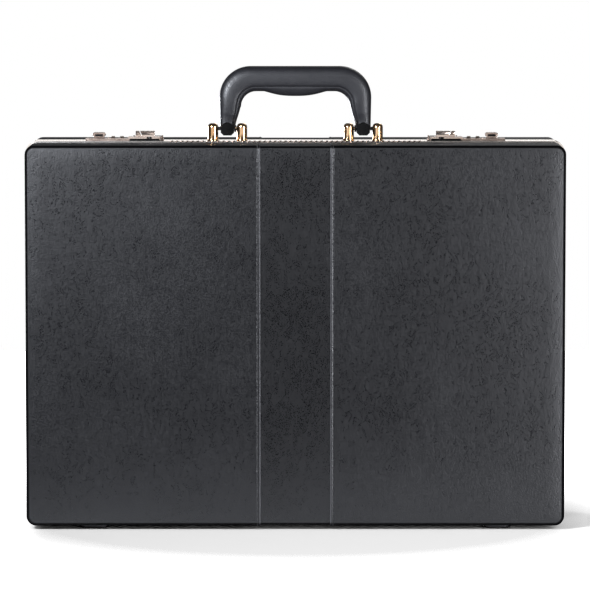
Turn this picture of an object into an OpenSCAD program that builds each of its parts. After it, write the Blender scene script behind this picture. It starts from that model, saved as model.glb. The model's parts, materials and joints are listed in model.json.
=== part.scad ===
// Hard-sided attache case, standing on its hinge edge with the handle up.
// X runs along the width, the lid faces -Y, +Z is up. The origin is on the
// floor under the middle of the case. Millimetres.

/* [Case] */
// Width over the leather
case_w = 457.2; // [400:0.1:560]
// Height over the leather, without feet, rails and handle
case_h = 324; // [270:1:400]
// Depth over the leather, front face to back face
case_d = 120; // [100:1:160]
// Depth of the lid half, from the front face to the parting line
lid_d = 49; // [40:1:60]
// Radius of the four corners of the outline
corner_r = 8; // [7:0.5:14]
// Radius where the leather rolls round the edge of a face
edge_r = 3; // [2:0.5:5]
// Height of the feet
foot_h = 4; // [3:0.5:8]
// Gap between the two rails along the parting line
parting_gap = 0.4; // [0.3:0.1:1]

/* [Leather and board] */
// Thickness of the leather
skin_t = 1.4; // [1:0.1:2]
// Depth that the middle panel lies below the side panels
panel_drop = 0.5; // [0.2:0.1:0.8]
// Width of the middle panel
middle_w = 59; // [40:1:100]
// Thickness of the board that stiffens each half
board_t = 3.6; // [3:0.1:6]
// Thickness of the lining
lining_t = 1.2; // [0.8:0.1:2]

/* [Rails] */
// Width of each rail that shows between leather and parting line
rail_w = 10.6; // [10.6:0.1:14]
// Height that a rail stands out of the leather
rail_proud = 1.4; // [1:0.1:2]
// Thickness of a rail's outer plate
rail_plate = 2.3; // [2:0.1:3]
// Thickness of a rail's upright walls
rail_web = 1.6; // [1.2:0.1:2]
// Length of the rail's leg behind the board
rail_leg = 8; // [6:1:14]
// Reach of the base rail's tongue into the lid rail
tongue_reach = 1.5; // [1:0.1:2]
// Thickness of the tongue
tongue_t = 1.2; // [1:0.1:1.5]

/* [Handle] */
// Distance between the middles of the two handle legs
leg_span = 116.4; // [100:0.2:150]
// Height of the handle's top above its pins
handle_rise = 53.6; // [50:0.2:70]
// Thickness of the leather grip, front to back
grip_t = 18; // [14:1:20]
// Height of the grip's padded section between seam and finger swell
pad_t = 4; // [3:0.5:6]
// Extra depth of the finger swell under the grip
swell_t = 4.3; // [2:0.1:6]
// Diameter of the handle pins
pin_d = 3; // [2.5:0.1:3.5]
// Radial running clearance of pins, dials and hasps
running = 0.05; // [0.02:0.01:0.1]
// Diameter of a handle post
post_d = 8.9; // [8:0.1:10]
// Distance between the two posts of a leg
post_gap = 24.8; // [24:0.1:28]
// Height of a handle post above the rail
post_h = 14.4; // [14.4:0.1:20]
// Height of the handle pins above the rail
pin_rise = 9.8; // [9.6:0.1:10]

/* [Locks] */
// Distance from the middle of the case to the inner end of a lock
lock_x = 112.7; // [105:0.1:130]
// Length of a lock plate
lock_len = 67; // [67:1:75]
// Thickness of a lock plate at its dials
lock_plate_t = 1.6; // [1.4:0.1:2]
// Radius of a number dial
dial_r = 4.2; // [3.8:0.1:4.2]
// Width of a number dial
dial_w = 3; // [2.6:0.1:3.4]
// Distance from dial to dial
dial_pitch = 7.6; // [7:0.1:8]
// Height that the dials stand out of the plate
dial_proud = 1.7; // [1.4:0.1:2]
// Travel of the release button
slide_travel = 4; // [3:0.5:4]

/* [Hinges and stays] */
// Distance from the middle of the case to a hinge's middle
hinge_x = 150; // [100:5:170]
// Length of a hinge
hinge_len = 40; // [30:5:60]
// Outer radius of a hinge barrel
barrel_r = 2.1; // [1.8:0.1:2.3]
// Radius of a hinge pin
hinge_pin_r = 0.8; // [0.6:0.1:1]
// Height of a stay's pivots above the hinge axis
stay_rise = 110; // [90:5:140]
// Distance of a stay's pivot from the parting line
stay_off = 8; // [7:0.5:9]
// Angle at which the lid comes to rest on its stays
lid_open = 95; // [90:1:100]
// Width of a stay's links
link_w = 8; // [7:0.5:10]
// Thickness of a stay's links
link_t = 1.2; // [1:0.1:1.6]

/* [Hidden] */
$fn = 48;

y_front = -case_d / 2;
y_back = case_d / 2;
y_part = y_front + lid_d;
z_low = foot_h;
z_high = foot_h + case_h;
z_mid = (z_low + z_high) / 2;
lid_rim = lid_d - parting_gap / 2;
base_rim = case_d - lid_d - parting_gap / 2;
wall_t = skin_t + board_t;
inner_t = wall_t + lining_t;
reach = case_w + case_h;

// Middle of the base rail's visible band, and the rails' outer face on top.
y_rail = y_part + parting_gap / 2 + rail_w / 2;
z_rail = z_high + rail_proud;

// Hinge axis: in the parting plane, level with the underside of the rails.
z_hinge = z_low - rail_proud - 0.1;

// Outline of the case seen from the front, grown or shrunk all round.
module outline(grow = 0) {
    r = corner_r + grow;
    half_w = case_w / 2 + grow;
    half_h = case_h / 2 + grow;
    translate([0, z_mid]) {
        square([2 * half_w - 2 * r, 2 * half_h], center = true);
        square([2 * half_w, 2 * half_h - 2 * r], center = true);
        for (x = [-1, 1], z = [-1, 1])
            translate([x * (half_w - r), z * (half_h - r)]) circle(r);
    }
}

// A plate of the given outline from depth y0 to depth y1.
module slab(y0, y1) translate([0, y1, 0]) rotate([90, 0, 0]) linear_extrude(y1 - y0) children();

// A frame that follows the outline between two growths.
module ring(y0, y1, outer, inner) slab(y0, y1) difference() {
    outline(outer);
    outline(inner);
}

// A block with its face at y0 rolled over on a radius.
module rolled(grow, roll, y0, y1) hull() {
    for (a = [0:15:90])
        slab(y0 + roll * (1 - sin(a)), y0 + roll + 0.01)
            outline(grow - roll * (1 - cos(a)), $fn = 32);
    slab(y0 + roll, y1) outline(grow, $fn = 32);
}

// Each half is drawn from its face at y = 0 towards its rim.
module lid_half() translate([0, y_front, 0]) children();
module base_half() translate([0, y_back, 0]) mirror([0, 1, 0]) children();

// Leather between two places along X, wrapped over the face and the four edges.
module cover(rim, x0, x1, drop = 0) intersection() {
    difference() {
        rolled(-drop, edge_r - drop, drop, rim - rail_w);
        rolled(-skin_t, edge_r - skin_t, skin_t, rim);
    }
    translate([x0, -1, 0]) cube([x1 - x0, rim, reach]);
}

module board(rim) difference() {
    rolled(-skin_t, edge_r - skin_t, skin_t, rim - rail_w);
    slab(wall_t, rim) outline(-wall_t);
}

module lining(rim) difference() {
    slab(wall_t, rim - rail_w - rail_leg) outline(-wall_t);
    slab(inner_t, rim) outline(-inner_t);
}

// Rail: outer plate, wall against the leather and leg behind the board.
module rail(rim) {
    ring(rim - rail_w, rim, rail_proud, rail_proud - rail_plate);
    ring(rim - rail_w, rim - rail_w + rail_web, rail_proud, -inner_t);
    ring(rim - rail_w - rail_leg, rim, -wall_t, -inner_t);
}

// Same module for left (side = -1) and right (side = 1).
module at_side(side) mirror([side < 0 ? 1 : 0, 0, 0]) children();
module both_sides() for (side = [-1, 1]) at_side(side) children();
module rod_x(x0, x1, r) translate([x0, 0, 0]) rotate([0, 90, 0]) cylinder(r = r, h = x1 - x0);

/* ---- lid ---- */

module lid_shell() color("#3a3a3c") lid_half() board(lid_rim);
module side_cover(side, rim) color("#26272a") at_side(side) cover(rim, middle_w / 2, reach);
module lid_cover_left() lid_half() side_cover(-1, lid_rim);
module lid_cover_right() lid_half() side_cover(1, lid_rim);
module lid_cover_middle() color("#222326") lid_half()
    cover(lid_rim, -middle_w / 2, middle_w / 2, panel_drop);
module lid_rail() color("#d9d3cf") difference() {
    lid_half() rail(lid_rim);
    hinge_room();
}
module lid_lining() color("#55504b") lid_half() lining(lid_rim);

// Document organiser in the lid: stiff divider, folder pocket and pen loops.
divider_w = case_w - 46;
divider_h = case_h - 40;
divider_t = 2.5;
divider_y = inner_t;
pocket_h = 0.62 * divider_h;
pocket_t = 3;
pocket_gap = 3;
z_divider = z_low + 22;

module lid_divider() color("#2b2b2d") lid_half()
    translate([-divider_w / 2, divider_y, z_divider]) cube([divider_w, divider_t, divider_h]);
module lid_pocket() color("#303033") lid_half()
    translate([-divider_w / 2, divider_y + divider_t, z_divider]) difference() {
        cube([divider_w, pocket_gap + pocket_t, pocket_h]);
        translate([pocket_t, -1, pocket_t]) cube([divider_w - 2 * pocket_t, pocket_gap + 1, pocket_h]);
    }

pen_count = 3;
pen_pitch = 18;
pen_r = 7;
pen_h = 24;
module lid_pen_loops() color("#1f1f21") lid_half()
    for (i = [0:pen_count - 1])
        translate([divider_w / 2 - 30 - i * pen_pitch, divider_y + divider_t, z_divider + pocket_h + 24])
            intersection() {
                difference() {
                    cylinder(r = pen_r, h = pen_h);
                    translate([0, 0, -1]) cylinder(r = pen_r - lining_t, h = pen_h + 2);
                }
                translate([-pen_r, 0, 0]) cube([2 * pen_r, pen_r, pen_h]);
            }

/* ---- base ---- */

module base_shell() color("#3a3a3c") base_half() board(base_rim);
module base_cover_left() base_half() side_cover(-1, base_rim);
module base_cover_right() base_half() side_cover(1, base_rim);
module base_cover_middle() color("#222326") base_half()
    cover(base_rim, -middle_w / 2, middle_w / 2, panel_drop);

tongue_in = 2.4;
module base_rail() color("#d9d3cf") difference() {
    base_half() {
        rail(base_rim);
        ring(base_rim - rail_web, base_rim, rail_proud, -inner_t);
        ring(base_rim - rail_web, base_rim + tongue_reach, -tongue_in, -tongue_in - tongue_t);
    }
    hinge_room();
    both_sides() lock_room();
    at_posts() translate([0, 0, z_rail - rail_plate - 1]) cylinder(r = shank_r, h = rail_plate + 2);
}
module base_lining() color("#55504b") base_half() lining(base_rim);

/* ---- feet ---- */

foot_x = 172;
foot_len = 22;
foot_w = 10;
foot_in = 18;
module feet(y) color("#141414") for (side = [-1, 1]) translate([side * foot_x, y, 0]) {
    translate([-foot_len / 2 + foot_w / 2, -foot_w / 2, 0]) cube([foot_len - foot_w, foot_w, foot_h]);
    for (end = [-1, 1]) translate([end * (foot_len - foot_w) / 2, 0, 0])
        cylinder(d = foot_w, h = foot_h);
}
module lid_feet() feet(y_front + foot_in);
module base_feet() feet(y_back - foot_in);

/* ---- hinges ---- */

knuckles = 5;
leaf_t = 1;
leaf_w = 9;
leaf_gap = 0.3;
hinge_play = 0.4;
module at_hinge() translate([0, y_part, z_hinge]) children();

// Space that the barrels and leaves take out of both rails.
module hinge_room() for (side = [-1, 1]) translate([side * hinge_x - hinge_len / 2, 0, 0]) at_hinge() {
    rod_x(-leaf_gap, hinge_len + leaf_gap, barrel_r + hinge_play);
    translate([0, -leaf_w - 1, -1]) cube([hinge_len, 2 * leaf_w + 2, leaf_t + 1.1]);
}

// One leaf with every second knuckle, on the given side of the axis.
module leaf(way, first) {
    pitch = hinge_len / knuckles;
    for (side = [-1, 1]) translate([side * hinge_x - hinge_len / 2, 0, 0]) at_hinge() difference() {
        union() {
            for (i = [first:2:knuckles - 1])
                rod_x(i * pitch + leaf_gap / 2, (i + 1) * pitch - leaf_gap / 2, barrel_r);
            for (i = [first:2:knuckles - 1])
                translate([i * pitch + leaf_gap / 2, way < 0 ? -barrel_r - 1 : 0, 0.1])
                    cube([pitch - leaf_gap, barrel_r + 1, leaf_t]);
            translate([leaf_gap, way < 0 ? -leaf_w - 1 : barrel_r + hinge_play, 0.1])
                cube([hinge_len - 2 * leaf_gap, leaf_w + 1 - barrel_r - hinge_play, leaf_t]);
        }
        rod_x(-1, hinge_len + 1, hinge_pin_r + (way < 0 ? running : 0));
    }
}
module lid_hinge_leaves() color("#c9b184") leaf(-1, 1);
module base_hinge_leaves() color("#c9b184") leaf(1, 0);
module hinge_pins() color("#8b8b8b") for (side = [-1, 1])
    translate([side * hinge_x - hinge_len / 2, 0, 0]) at_hinge()
        rod_x(leaf_gap / 2, hinge_len - leaf_gap / 2, hinge_pin_r);

/* ---- lid stays: two links that fold behind each other ---- */

stay_gap = 0.4;
stud_r = 1.8;
stud_head_r = 3.2;
stud_head_t = 0.8;
x_wall = case_w / 2 - inner_t;
x_outer = x_wall - 2 * stay_gap - link_t;
x_inner = x_outer - stay_gap - link_t;
z_stay = z_hinge + stay_rise;

// Both pivots at the open angle lie on one straight line with the knee.
open_y = -stay_off * cos(lid_open) - stay_rise * sin(lid_open);
open_z = -stay_off * sin(lid_open) + stay_rise * cos(lid_open);
link_len = norm([open_y - stay_off, open_z - stay_rise]) / 2;
knee_drop = sqrt(link_len * link_len - stay_off * stay_off);

// Link from the knee up to its pivot, with a flat rivet head at head_x on the knee.
knee_head_t = 0.3;
module link(from_y, x, head_x) color("#b9b9bb") translate([0, y_part, z_stay - knee_drop])
    rotate([-atan2(from_y, knee_drop), 0, 0]) {
        rod_x(head_x, head_x + knee_head_t, stud_head_r);
        translate([x, 0, 0]) rotate([90, 0, 90]) linear_extrude(link_t) difference() {
            union() {
                translate([-link_w / 2, 0]) square([link_w, link_len]);
                circle(link_w / 2);
                translate([0, link_len]) circle(link_w / 2);
            }
            translate([0, link_len]) circle(stud_r + running);
        }
    }
module base_stay(side) at_side(side) link(stay_off, x_inner, x_inner - knee_head_t);
module lid_stay(side) at_side(side) link(-stay_off, x_outer, x_outer + link_t);
module base_stay_left() base_stay(-1);
module base_stay_right() base_stay(1);
module lid_stay_left() lid_stay(-1);
module lid_stay_right() lid_stay(1);

module stay_studs(y, x) color("#a9a9ab") both_sides() translate([0, y_part + y, z_stay]) {
    rod_x(x - 0.2, x_wall, stud_r);
    rod_x(x - 0.2 - stud_head_t, x - 0.2, stud_head_r);
}
module base_stay_studs() stay_studs(stay_off, x_inner);
module lid_stay_studs() stay_studs(-stay_off, x_outer);

/* ---- handle ---- */

leg_x = leg_span / 2;
z_pin = z_rail + pin_rise;
shank_r = 2;
nut_flats = 6.6;
nut_t = 2.8;
dome_r = 3;
post_foot_r = post_d / 2 + 0.5;
post_foot_h = 0.6;
module at_posts() both_sides() for (end = [-1, 1])
    translate([leg_x + end * post_gap / 2, y_rail, 0]) children();

module handle_posts() color("#c9a46a") difference() {
    at_posts() {
        translate([0, 0, z_rail]) rotate_extrude() {
            square([post_d / 2, post_h - dome_r]);
            square([post_d / 2 - dome_r, post_h]);
            translate([post_d / 2 - dome_r, post_h - dome_r]) intersection() {
                circle(dome_r);
                square(dome_r);
            }
            square([post_foot_r, post_foot_h]);
        }
        translate([0, 0, z_rail - rail_plate - nut_t]) cylinder(r = shank_r, h = rail_plate + nut_t);
    }
    handle_pins();
}
module post_nuts() color("#9a9a9c") at_posts()
    translate([0, 0, z_rail - rail_plate - nut_t]) difference() {
        cylinder(d = nut_flats / cos(30), h = nut_t, $fn = 6);
        translate([0, 0, -1]) cylinder(r = shank_r, h = nut_t + 2);
    }
module handle_pins() color("#5b5b5d") both_sides() translate([leg_x, y_rail, z_pin])
    rod_x(-post_gap / 2, post_gap / 2, pin_d / 2);

// The arch of the handle in front view: half width, height over the rail, radius.
leg_w = 13.8;
leg_top_w = 18.6;
arch_half = leg_x + leg_w / 2;
arch_top = pin_rise + handle_rise;
arch_r = 27;
grip_h = 17.6;
seam_half = arch_half - leg_top_w + pad_t;
seam_top = arch_top - grip_h;
leather_low = 8;
module arch(half, top, r, low) {
    translate([-half, low]) square([2 * half, top - r - low]);
    translate([-half + r, low]) square([2 * half - 2 * r, top - low]);
    for (side = [-1, 1]) translate([side * (half - r), top - r]) circle(r);
}
// The opening under the pad widens towards the leg ends.
module under_arch() {
    half = arch_half - leg_top_w;
    arch(half, seam_top - pad_t, 13, 0);
    foot = arch_half - leg_w;
    polygon([[-foot, 0], [foot, 0], [foot, leather_low + 6], [half, end_top], [-half, end_top],
             [-foot, leather_low + 6]]);
}
module finger_swell() {
    swell_w = 50;
    swell_r = swell_t;
    top = seam_top - pad_t;
    translate([-swell_w / 2 + swell_r, top - swell_t]) square([swell_w - 2 * swell_r, swell_t]);
    for (side = [-1, 1]) translate([side * (swell_w / 2 - swell_r), top]) intersection() {
        circle(swell_r);
        translate([-swell_r, -swell_r]) square([2 * swell_r, swell_r]);
    }
}
module handle_slab(t) translate([0, y_rail + t / 2, z_rail]) rotate([90, 0, 0]) linear_extrude(t) children();

end_w = 11.4;
end_t = 9;
end_low = 4;
end_top = 31;
// Black end fitting of a leg, with the bore for its pin.
module end_shape() translate([leg_x - end_w / 2, end_low]) {
    chamfer = 2.4;
    polygon([[chamfer, 0], [end_w - chamfer, 0], [end_w, chamfer], [end_w, end_top - end_low],
             [0, end_top - end_low], [0, chamfer]]);
}
module handle_end(side) color("#0d0d0e") at_side(side) difference() {
    handle_slab(end_t) end_shape();
    translate([0, y_rail, z_pin]) rod_x(leg_x - leg_w, leg_x + leg_w, pin_d / 2 + running);
}
module handle_end_left() handle_end(-1);
module handle_end_right() handle_end(1);

core_t = 8;
core_in = 4;
core_w = 7;
module handle_core() color("#77777a") handle_slab(core_t) difference() {
    arch(arch_half - core_in, arch_top - core_in, arch_r - core_in, 0);
    arch(arch_half - core_in - core_w, arch_top - core_in - core_w, arch_r - core_in - core_w, 0);
    translate([-arch_half, -1]) square([2 * arch_half, end_top + 1]);
}
// Room for the core, the end fittings and the pins inside the leather.
module handle_inside() {
    handle_core();
    both_sides() {
        handle_slab(end_t) end_shape();
        translate([0, y_rail, z_pin]) rod_x(leg_x - leg_w, leg_x + leg_w, pin_d / 2 + 0.6);
    }
}
module handle_cover() color("#232427") difference() {
    handle_slab(grip_t) difference() {
        arch(arch_half, arch_top, arch_r, leather_low);
        arch(seam_half, seam_top, 17, 0);
    }
    handle_inside();
}
module handle_pad() color("#1e1f21") difference() {
    handle_slab(grip_t) {
        difference() {
            intersection() {
                arch(seam_half, seam_top, 17, 0);
                translate([-seam_half, leather_low]) square([2 * seam_half, seam_top]);
            }
            under_arch();
        }
        finger_swell();
    }
    handle_inside();
}

/* ---- locks, drawn for the right side ---- */

thin_t = 0.8;
thin_len = 25.2;
band = rail_w - 0.4;
z_plate = z_rail + lock_plate_t;
z_dial = z_plate + dial_proud - dial_r;
dial_room = 0.3;
case_w_y = 8.6;
case_low = 16.4;
case_len = lock_len - 2;
dial_x = lock_x + 28.4;
slide_x = lock_x + 50;
slide_len = 11;
stem_w = 4;
stem_y = 3.2;
bar_h = 3;
bar_y = 6;
bar_len = 9;
spring_len = 5.4;
bar_drop = 8;
play = 0.3;
z_bar = z_rail - bar_drop;

module lock_room() translate([lock_x + 0.9, y_rail - case_w_y / 2 - 0.1, z_rail - case_low - 0.1])
    cube([case_len + 0.4, case_w_y + 0.2, case_low + 1]);

module dial_slots(r) for (i = [0:2])
    translate([dial_x + i * dial_pitch, y_rail, z_dial])
        rod_x(-dial_w / 2 - play, dial_w / 2 + play, r);

module stem_slot() translate([slide_x + slide_len / 2 - stem_w / 2 - play, y_rail - stem_y / 2 - play, z_bar])
    cube([stem_w + slide_travel + 2 * play, stem_y + 2 * play, bar_drop + 4]);

hasp_y = y_rail + 3.1;
hasp_z = z_rail + 2.3;
hasp_pin_r = 0.6;
hasp_x0 = lock_x + 2.6;
hasp_x1 = lock_x + 24.6;
ear_w = 1.3;
ear_h = 3.8;
module at_hasp_pin() translate([0, hasp_y, hasp_z]) children();

module lock_plate(side) color("#a08c82") at_side(side) difference() {
    translate([0, y_rail - band / 2, z_rail]) {
        translate([lock_x, 0, 0]) cube([lock_len, band, thin_t]);
        translate([lock_x + thin_len, 0, 0]) cube([lock_len - thin_len, band, lock_plate_t]);
        for (x = [hasp_x0 - 0.4 - ear_w, hasp_x1 + 0.4])
            translate([x, band - 4, 0]) cube([ear_w, 4, ear_h]);
    }
    dial_slots(dial_r + dial_room);
    stem_slot();
    at_hasp_pin() rod_x(hasp_x0 - 3, hasp_x1 + 3, hasp_pin_r);
}
module lock_plate_left() lock_plate(-1);
module lock_plate_right() lock_plate(1);

module lock_case(side) color("#8d8d90") at_side(side) difference() {
    translate([lock_x + 1.1, y_rail - case_w_y / 2, z_rail - case_low])
        cube([case_len, case_w_y, case_low]);
    dial_slots(dial_r + dial_room);
    stem_slot();
    translate([slide_x + 0.6, y_rail - bar_y / 2 - play, z_bar - play])
        cube([bar_len + spring_len + play, bar_y + 2 * play, bar_h + 2 * play]);
    translate([0, y_rail, z_dial]) rod_x(dial_x - 5, dial_x + 2 * dial_pitch + 5, shaft_r);
}
module lock_case_left() lock_case(-1);
module lock_case_right() lock_case(1);

shaft_r = 0.85;
module dial_shaft(side) color("#9c9c9e") at_side(side) translate([0, y_rail, z_dial])
    rod_x(dial_x - 5, dial_x + 2 * dial_pitch + 5, shaft_r);
module dial_shaft_left() dial_shaft(-1);
module dial_shaft_right() dial_shaft(1);

// Number dial with ten finger notches.
module dial(side, i) color("#b09a7e") at_side(side)
    translate([dial_x + i * dial_pitch, y_rail, z_dial]) difference() {
        rod_x(-dial_w / 2, dial_w / 2, dial_r);
        rod_x(-dial_w, dial_w, shaft_r + running);
        for (a = [18:36:359]) rotate([a, 0, 0]) translate([0, 0, dial_r + 0.1])
            rod_x(-dial_w, dial_w, 0.5);
    }
module dial_left_1() dial(-1, 0);
module dial_left_2() dial(-1, 1);
module dial_left_3() dial(-1, 2);
module dial_right_1() dial(1, 0);
module dial_right_2() dial(1, 1);
module dial_right_3() dial(1, 2);

// Release button: cap on the plate, stem through it, bar inside the case.
cap_y = 8;
cap_h = 4.6;
cap_step = 2;
module slide_button(side) color("#a8927c") at_side(side) {
    translate([slide_x, y_rail - cap_y / 2, z_plate + play]) {
        translate([cap_step / 2, 0, 0]) cube([slide_len - cap_step, cap_y, cap_h]);
        translate([0, 0, cap_h / 2 - 0.6]) cube([slide_len, cap_y, cap_h / 2]);
    }
    translate([slide_x + slide_len / 2 - stem_w / 2, y_rail - stem_y / 2, z_bar])
        cube([stem_w, stem_y, bar_drop + lock_plate_t + play + 0.5]);
    translate([slide_x + 0.9, y_rail - bar_y / 2, z_bar]) cube([bar_len, bar_y, bar_h]);
}
module slide_button_left() slide_button(-1);
module slide_button_right() slide_button(1);

// Return spring between the bar and the end of the case.
spring_turns = 5;
spring_r = 1.1;
wire_r = 0.3;
wire_sides = 8;
turn_steps = 14;
function coil(t) = [t * (spring_len - 2 * wire_r - 0.4), spring_r * cos(360 * spring_turns * t),
                    spring_r * sin(360 * spring_turns * t)];
function ring_point(t, a) = let (c = coil(t), u = 360 * spring_turns * t)
    c + wire_r * cos(a) * [0, cos(u), sin(u)] + wire_r * sin(a) * [1, 0, 0];
module coil_spring() {
    rings = spring_turns * turn_steps;
    points = [for (i = [0:rings], k = [0:wire_sides - 1]) ring_point(i / rings, 360 * k / wire_sides)];
    sides = [for (i = [0:rings - 1], k = [0:wire_sides - 1]) let (n = (k + 1) % wire_sides)
        [i * wire_sides + k, i * wire_sides + n, (i + 1) * wire_sides + n, (i + 1) * wire_sides + k]];
    first = [for (k = [wire_sides - 1:-1:0]) k];
    last = [for (k = [0:wire_sides - 1]) rings * wire_sides + k];
    polyhedron(points, concat([first, last], sides), convexity = 10);
}
module slide_spring(side) color("#9c9c9e") at_side(side)
    translate([slide_x + 0.9 + bar_len + wire_r + 0.1, y_rail, z_bar + bar_h / 2]) coil_spring();
module slide_spring_left() slide_spring(-1);
module slide_spring_right() slide_spring(1);

// Hasp: plate over both rails, knuckle at its back edge, thumb tab on top.
hasp_low = 1.1;
hasp_top = 3.3;
hasp_front = y_part - 9.6;
hasp_back = y_part + 0.1;
hasp_x2 = lock_x + 30.3;
knuckle_r = 1.3;
tab_x0 = lock_x + 7.5;
tab_x1 = lock_x + 23.7;
tab_front = y_part - 8.6;
tab_back = y_part - 3;
tab_h = 8.4;
catch_x = lock_x + 12;
catch_y = y_part - 5.5;
catch_r = 1.4;
catch_room = 0.7;
module hasp(side) color("#8f7a68") at_side(side) difference() {
    union() {
        translate([hasp_x0, hasp_front, z_rail + hasp_low])
            cube([hasp_x2 - hasp_x0, hasp_back - hasp_front, hasp_top - hasp_low]);
        translate([hasp_x0, hasp_back - 0.1, z_rail + hasp_low])
            cube([hasp_x1 - hasp_x0, hasp_y - hasp_back + 0.1, hasp_top - hasp_low]);
        at_hasp_pin() rod_x(hasp_x0, hasp_x1, knuckle_r);
        translate([tab_x0, tab_front + 1.4, z_rail + hasp_top - 0.1])
            cube([tab_x1 - tab_x0, tab_back - tab_front - 1.4, 2.1]);
        translate([tab_x0, tab_front + 0.7, z_rail + hasp_top + 1.9])
            cube([tab_x1 - tab_x0, tab_back - tab_front - 0.7, tab_h - hasp_top - 1.9]);
        translate([tab_x0, tab_front + 0.7, z_rail + tab_h - 0.7]) rod_x(0, tab_x1 - tab_x0, 0.7);
    }
    at_hasp_pin() rod_x(hasp_x0 - 1, hasp_x1 + 1, hasp_pin_r + running);
    translate([tab_x1 - 5.4, y_part - 12, z_rail + hasp_top + 1.6]) rotate([0, 25, 0])
        cube([0.9, 12, 8]);
    translate([catch_x - catch_r - catch_room, hasp_front - 1, z_rail])
        cube([2 * (catch_r + catch_room), catch_y - hasp_front + 1, hasp_top]);
    translate([catch_x, catch_y, z_rail]) cylinder(r = catch_r + catch_room, h = hasp_top);
}
module hasp_left() hasp(-1);
module hasp_right() hasp(1);
module hasp_pin(side) color("#9c9c9e") at_side(side)
    at_hasp_pin() rod_x(hasp_x0 - 0.4 - ear_w, hasp_x1 + 0.4 + ear_w, hasp_pin_r);
module hasp_pin_left() hasp_pin(-1);
module hasp_pin_right() hasp_pin(1);

// Strike on the lid rail, with the catch post that the hasp closes over.
strike_t = 0.5;
module strike(side) color("#a08c82") at_side(side) {
    translate([lock_x + 3, y_part - 9.8, z_rail]) cube([26, 9.2, strike_t]);
    translate([catch_x, catch_y, z_rail]) cylinder(r = catch_r, h = hasp_top - 0.4);
}
module strike_left() strike(-1);
module strike_right() strike(1);

// Rivet heads that hold the lock plates on the rail.
rivet_r = 0.9;
rivet_h = 0.6;
rivet_y = 2.9;
module lock_rivets() color("#b8a898") both_sides() {
    translate([lock_x + 1.2, y_rail - rivet_y, z_rail + thin_t]) cylinder(r = rivet_r, h = rivet_h);
    for (y = [-rivet_y, rivet_y])
        translate([slide_x - 2.2, y_rail + y, z_plate]) cylinder(r = rivet_r, h = rivet_h);
}

lid_shell();
lid_cover_left();
lid_cover_middle();
lid_cover_right();
lid_rail();
lid_lining();
lid_divider();
lid_pocket();
lid_pen_loops();
lid_feet();
lid_hinge_leaves();
strike_left();
strike_right();
lid_stay_studs();
base_shell();
base_cover_left();
base_cover_middle();
base_cover_right();
base_rail();
base_lining();
base_feet();
base_hinge_leaves();
hinge_pins();
base_stay_studs();
handle_posts();
post_nuts();
handle_pins();
lock_plate_left();
lock_plate_right();
lock_case_left();
lock_case_right();
dial_shaft_left();
dial_shaft_right();
hasp_pin_left();
hasp_pin_right();
lock_rivets();
slide_spring_left();
slide_spring_right();
handle_core();
handle_cover();
handle_pad();
handle_end_left();
handle_end_right();
slide_button_left();
slide_button_right();
hasp_left();
hasp_right();
dial_left_1();
dial_left_2();
dial_left_3();
dial_right_1();
dial_right_2();
dial_right_3();
base_stay_left();
base_stay_right();
lid_stay_left();
lid_stay_right();
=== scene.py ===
# %% [markdown]
# # A hard-sided attaché case
# The imported CAD model is the frame: it says where every piece is and how it moves. This lesson
# puts the looks around it. The leather skins and the swept and turned parts (handle, posts, bead)
# are surfaces worked out with numpy, the lining keeps its CAD shape under a new finish, and the
# small stamped metal parts are copies of the CAD solids with their edges softened. Everything
# stays where the frame puts it.

# %% Load the frame
import json
import math

import bmesh
import bpy
import numpy as np
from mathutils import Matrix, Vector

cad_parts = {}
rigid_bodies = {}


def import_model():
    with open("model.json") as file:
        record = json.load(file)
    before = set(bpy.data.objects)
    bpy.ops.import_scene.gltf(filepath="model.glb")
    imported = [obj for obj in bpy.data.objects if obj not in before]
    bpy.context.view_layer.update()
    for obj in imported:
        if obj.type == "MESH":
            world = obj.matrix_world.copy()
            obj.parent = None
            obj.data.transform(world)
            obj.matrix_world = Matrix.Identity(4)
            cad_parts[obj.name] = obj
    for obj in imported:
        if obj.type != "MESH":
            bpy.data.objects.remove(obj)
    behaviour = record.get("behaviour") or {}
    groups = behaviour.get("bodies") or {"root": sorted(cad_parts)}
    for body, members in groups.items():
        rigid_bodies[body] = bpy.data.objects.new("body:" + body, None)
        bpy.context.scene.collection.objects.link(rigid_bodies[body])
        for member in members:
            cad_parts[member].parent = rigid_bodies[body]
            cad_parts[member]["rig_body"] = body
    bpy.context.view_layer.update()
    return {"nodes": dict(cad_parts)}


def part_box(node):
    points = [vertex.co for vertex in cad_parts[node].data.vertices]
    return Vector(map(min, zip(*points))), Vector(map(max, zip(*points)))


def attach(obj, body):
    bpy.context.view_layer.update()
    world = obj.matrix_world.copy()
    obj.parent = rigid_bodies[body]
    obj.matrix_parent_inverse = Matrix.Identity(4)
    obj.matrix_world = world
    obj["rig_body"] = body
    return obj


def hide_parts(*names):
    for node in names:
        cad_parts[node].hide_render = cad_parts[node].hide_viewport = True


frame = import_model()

MM = 0.001

# %% [markdown]
# ## Places taken from the frame
# All places come from the boxes of the CAD nodes, so a changed size carries through. The few
# numbers below are sizes that a box can't tell, such as the thickness of the leather.

# %% Places
lid_lo, lid_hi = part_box("lid_cover_right")
base_lo, base_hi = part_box("base_cover_right")
rail_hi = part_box("lid_rail")[1]
post_lo, post_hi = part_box("handle_posts")
grip_lo, grip_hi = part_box("handle_cover")
end_lo, end_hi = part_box("handle_end_right")
plate_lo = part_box("lock_plate_right")[0]

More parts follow.
